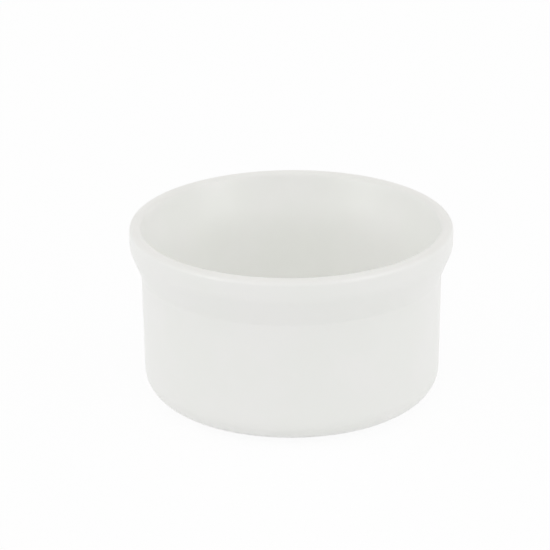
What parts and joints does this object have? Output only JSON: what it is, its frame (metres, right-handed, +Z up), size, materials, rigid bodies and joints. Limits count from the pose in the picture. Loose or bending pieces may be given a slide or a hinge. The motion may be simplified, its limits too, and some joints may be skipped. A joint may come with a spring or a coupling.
{
  "type": "ramekin",
  "caption": "Round, straight-walled porcelain baking cup with a flared collar and a rounded lip, for baking and serving a single portion.",
  "frame": {"origin": "centre of the foot ring's standing face, on the cup's axis", "axes": "+Z up the cup's axis, towards its mouth; the cup is round, so X and Y are free, and the picture looks along +Y and down"},
  "size_m": [0.09, 0.09, 0.05],
  "materials": {
    "porcelain": "bare fired porcelain, matt and very finely grained",
    "glaze": "clear glossy glaze over white porcelain"
  },
  "bodies": {
    "root": {"porcelain_body": "porcelain", "glaze_coat": "glaze", "underside_glaze": "glaze"}
  },
  "joints": []
}
